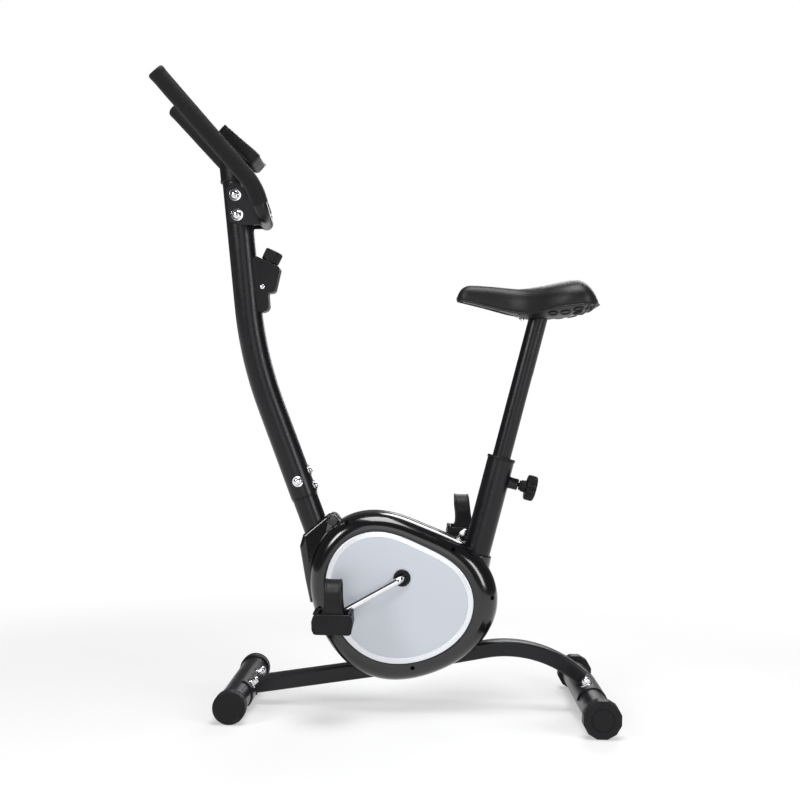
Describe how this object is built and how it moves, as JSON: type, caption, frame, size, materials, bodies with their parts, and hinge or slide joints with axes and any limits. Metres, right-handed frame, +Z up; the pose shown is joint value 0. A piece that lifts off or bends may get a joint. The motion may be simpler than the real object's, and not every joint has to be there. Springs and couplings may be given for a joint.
{
  "type": "exercise bike",
  "caption": "Upright magnetic exercise bike with a bent base beam, raked mast, horn handlebar, console, belt drive in an egg-shaped shroud and a height-adjustable saddle.",
  "frame": {"origin": "centre of the footprint on the floor", "axes": "-X is the front of the bike, -Y is the rider's left, +Z is up"},
  "size_m": [0.8588, 0.43, 1.1338],
  "materials": {
    "frame_paint": "satin",
    "chrome": "polished",
    "bearing_steel": "machined",
    "cast_metal": "machined",
    "magnet": "plated",
    "black_plastic": "fine texture",
    "gloss_black": "gloss",
    "panel_silver": "silver paint",
    "display_glass": "clear",
    "foam": "closed-cell foam",
    "belt_rubber": "matt",
    "saddle_cover": "smooth vinyl",
    "strap_vinyl": "smooth"
  },
  "bodies": {
    "frame": {"base_beam": "frame_paint", "neck_tube": "frame_paint", "seat_tube": "frame_paint", "crank_housing": "frame_paint", "flywheel_bracket": "frame_paint", "front_stabiliser": "frame_paint", "rear_stabiliser": "frame_paint", "stabiliser_bolts": "chrome", "stabiliser_nuts": "chrome", "roller_plugs": "black_plastic", "mast": "frame_paint", "mast_bolts": "chrome", "handlebar": "frame_paint", "handlebar_bracket": "frame_paint", "handlebar_bolts": "chrome", "grip_left": "foam", "grip_right": "foam", "mast_cap": "black_plastic", "console_housing": "black_plastic", "console_bezel": "gloss_black", "console_screen": "display_glass", "battery_cover": "black_plastic", "tension_housing": "black_plastic", "tension_screw": "chrome", "tension_cable": "belt_rubber", "shroud_left": "gloss_black", "shroud_right": "gloss_black", "shroud_collar": "gloss_black", "panel_left": "panel_silver", "panel_right": "panel_silver", "shroud_screws": "chrome", "dust_rings": "black_plastic", "bearing_cups": "bearing_steel", "drive_belt": "belt_rubber", "flywheel_bearings": "bearing_steel", "seat_bushing": "black_plastic"},
    "roller_l": {"front_roller_left": "black_plastic"},
    "roller_r": {"front_roller_right": "black_plastic"},
    "cap_l": {"rear_cap_left": "black_plastic"},
    "cap_r": {"rear_cap_right": "black_plastic"},
    "mode": {"mode_button": "black_plastic"},
    "set": {"set_button": "black_plastic"},
    "reset": {"reset_button": "black_plastic"},
    "tension": {"tension_knob": "black_plastic"},
    "crankset": {"crank": "chrome", "drive_pulley": "black_plastic"},
    "flywheel_set": {"flywheel": "cast_metal", "flywheel_shaft": "bearing_steel"},
    "brake": {"brake_arm": "frame_paint", "brake_magnets": "magnet"},
    "seat": {"seat_post": "frame_paint", "saddle_pan": "black_plastic", "saddle_cushion": "saddle_cover", "saddle_nuts": "chrome"},
    "height_pin": {"seat_pin": "chrome"},
    "height_knob": {"seat_knob": "black_plastic"},
    "pedal_l": {"pedal_left": "black_plastic", "strap_left": "strap_vinyl"},
    "pedal_r": {"pedal_right": "black_plastic", "strap_right": "strap_vinyl"}
  },
  "joints": [
    {"name": "front_roller_left_spin", "type": "hinge", "parent": "frame", "child": "roller_l", "pos_m": [-0.23954, -0.166, 0.0288], "axis": [0, 1, 0], "continuous": true},
    {"name": "front_roller_right_spin", "type": "hinge", "parent": "frame", "child": "roller_r", "pos_m": [-0.23954, 0.166, 0.0288], "axis": [0, 1, 0], "continuous": true},
    {"name": "rear_cap_left_turn", "type": "hinge", "parent": "frame", "child": "cap_l", "pos_m": [0.39656, -0.201, 0.0307], "axis": [0, 1, 0], "range_deg": [-150, 150]},
    {"name": "rear_cap_right_turn", "type": "hinge", "parent": "frame", "child": "cap_r", "pos_m": [0.39656, 0.201, 0.0307], "axis": [0, 1, 0], "range_deg": [-150, 150]},
    {"name": "crank_spin", "type": "hinge", "parent": "frame", "child": "crankset", "pos_m": [0.04976, 0, 0.2445], "axis": [0, 1, 0], "continuous": true},
    {"name": "flywheel_spin", "type": "hinge", "parent": "frame", "child": "flywheel_set", "pos_m": [0.01346, -0.041, 0.15], "axis": [0, 1, 0], "continuous": true},
    {"name": "pedal_left_spin", "type": "hinge", "parent": "crankset", "child": "pedal_l", "pos_m": [-0.06719, -0.137, 0.17807], "axis": [0, 1, 0], "continuous": true},
    {"name": "pedal_right_spin", "type": "hinge", "parent": "crankset", "child": "pedal_r", "pos_m": [0.16671, 0.137, 0.31094], "axis": [0, 1, 0], "continuous": true},
    {"name": "seat_height_slide", "type": "slide", "parent": "frame", "child": "seat", "axis": [0.23, 0, 0.9732], "range_m": [-0.16, 0.05]},
    {"name": "height_pin_pull", "type": "slide", "parent": "frame", "child": "height_pin", "axis": [0.9732, 0, -0.23], "range_m": [0, 0.01], "stiffness_N_per_m": 300, "springref_m": -0.002},
    {"name": "height_knob_turn", "type": "hinge", "parent": "height_pin", "child": "height_knob", "pos_m": [0.21796, 0, 0.4248], "axis": [0.9732, 0, -0.23], "range_deg": [0, 540]},
    {"name": "tension_knob_turn", "type": "hinge", "parent": "frame", "child": "tension", "pos_m": [-0.21094, 0, 0.8148], "axis": [0.4067, 0, 0.9135], "range_deg": [0, 330]},
    {"name": "brake_arm_swing", "type": "hinge", "parent": "frame", "child": "brake", "pos_m": [-0.02654, -0.041, 0.236], "axis": [0, 1, 0], "range_deg": [0, 4]},
    {"name": "mode_button_press", "type": "slide", "parent": "frame", "child": "mode", "axis": [-0.6401, 0, -0.7683], "range_m": [0, 0.001], "stiffness_N_per_m": 400, "springref_m": -0.001},
    {"name": "set_button_press", "type": "slide", "parent": "frame", "child": "set", "axis": [-0.6401, 0, -0.7683], "range_m": [0, 0.001], "stiffness_N_per_m": 400, "springref_m": -0.001},
    {"name": "reset_button_press", "type": "slide", "parent": "frame", "child": "reset", "axis": [-0.6401, 0, -0.7683], "range_m": [0, 0.001], "stiffness_N_per_m": 400, "springref_m": -0.001}
  ],
  "couplings": [
    {"joint": "flywheel_spin", "follows": "crank_spin", "ratio": 6.4},
    {"joint": "brake_arm_swing", "follows": "tension_knob_turn", "ratio": 0.012121}
  ]
}
